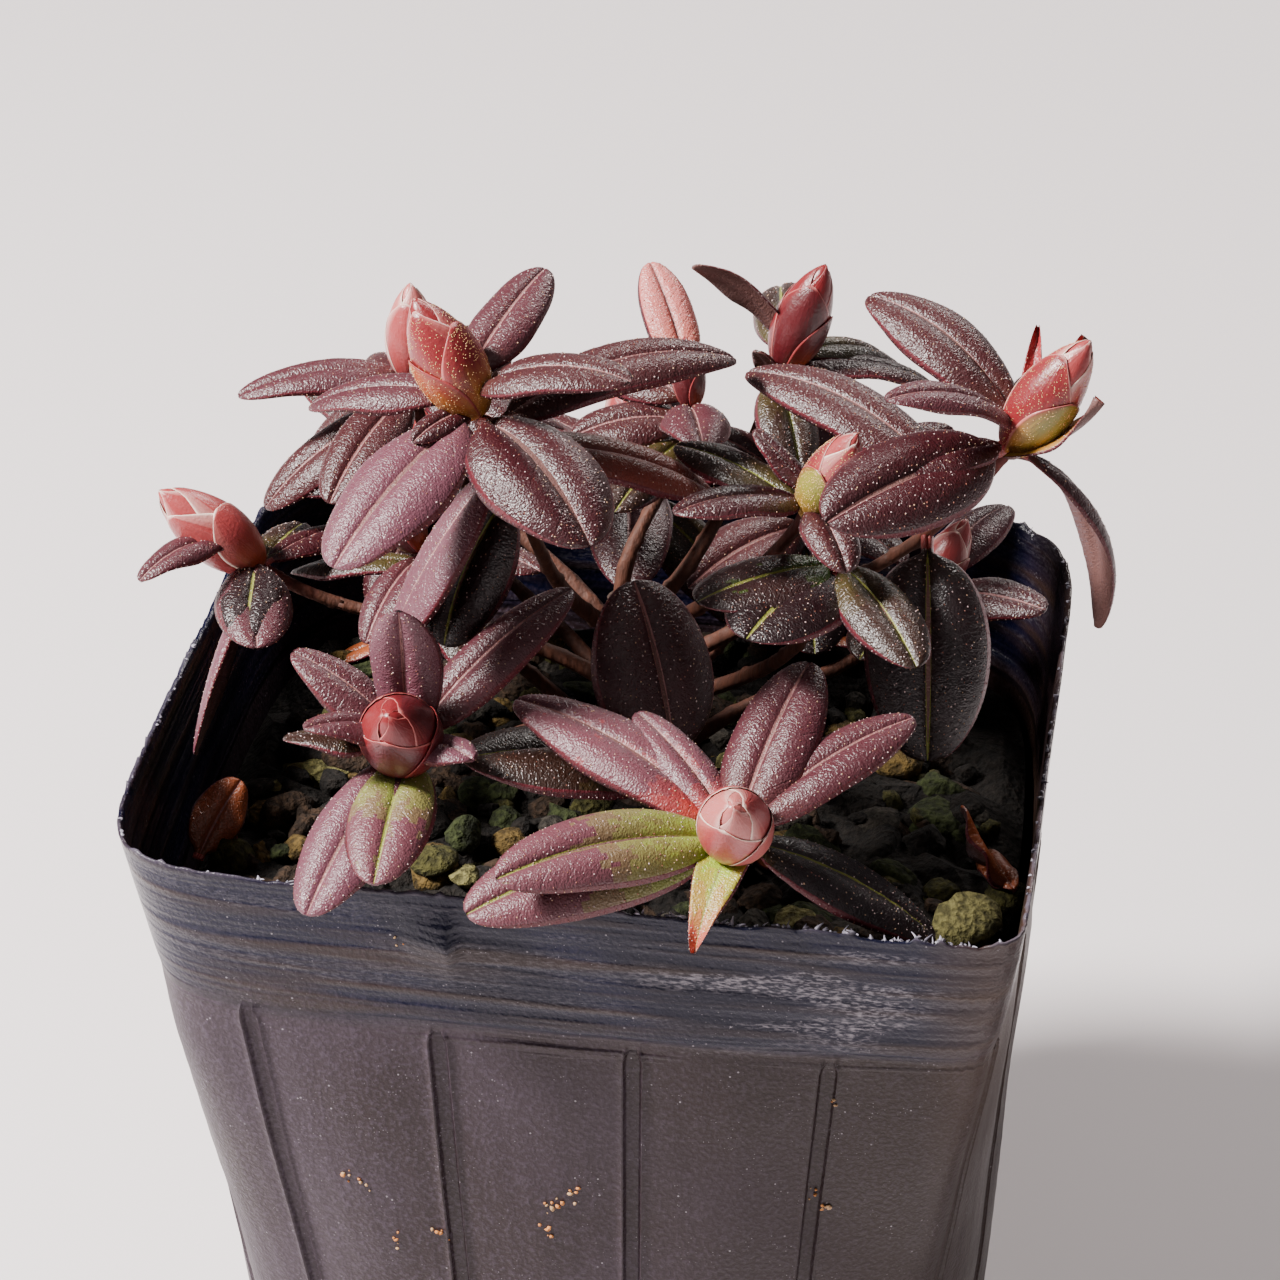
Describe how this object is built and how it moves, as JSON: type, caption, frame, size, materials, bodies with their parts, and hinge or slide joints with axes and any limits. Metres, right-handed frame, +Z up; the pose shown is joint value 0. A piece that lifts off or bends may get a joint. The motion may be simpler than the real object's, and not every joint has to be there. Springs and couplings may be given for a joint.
{
  "type": "potted dwarf rhododendron",
  "caption": "Dwarf evergreen shrub with maroon winter leaves and fat pink flower buds, in a squashed thin film nursery pot of grit.",
  "frame": {"origin": "centre of the pot's flat underside", "axes": "+Z up, -Y the side of the pot that the picture faces, +X to the right of it"},
  "size_m": [0.0875, 0.092, 0.1223],
  "materials": {
    "pot": "satin black poly film, scuffed band under a torn rim",
    "grit": "rough mixed mineral grit",
    "bark": "thin brown bark, red on the young wood",
    "foliage": "leathery leaves with pale scale dots, waxy bud scales"
  },
  "bodies": {
    "root": {"pot": "pot", "grit": "grit", "trunk": "bark", "bough_middle_top": "bark", "bough_left_top": "bark", "bough_right_front": "bark", "bough_back_top": "bark", "bough_left_back": "bark", "bough_right_top": "bark", "bough_left_low": "bark", "bough_rear": "bark", "bough_middle": "bark", "bough_front_left": "bark", "bough_front": "bark", "bough_middle_low": "bark", "bough_rear_left": "bark", "bough_rear_right": "bark", "bough_right_rear": "bark", "bough_left_middle": "bark", "mass_middle_top": "foliage", "mass_left_top": "foliage", "mass_right_front": "foliage", "mass_back_top": "foliage", "mass_left_back": "foliage", "mass_right_top": "foliage", "mass_left_low": "foliage", "mass_rear": "foliage", "mass_middle": "foliage", "mass_front_left": "foliage", "mass_front": "foliage", "mass_middle_low": "foliage", "mass_rear_left": "foliage", "mass_rear_right": "foliage", "mass_right_rear": "foliage", "mass_left_middle": "foliage"}
  },
  "joints": []
}
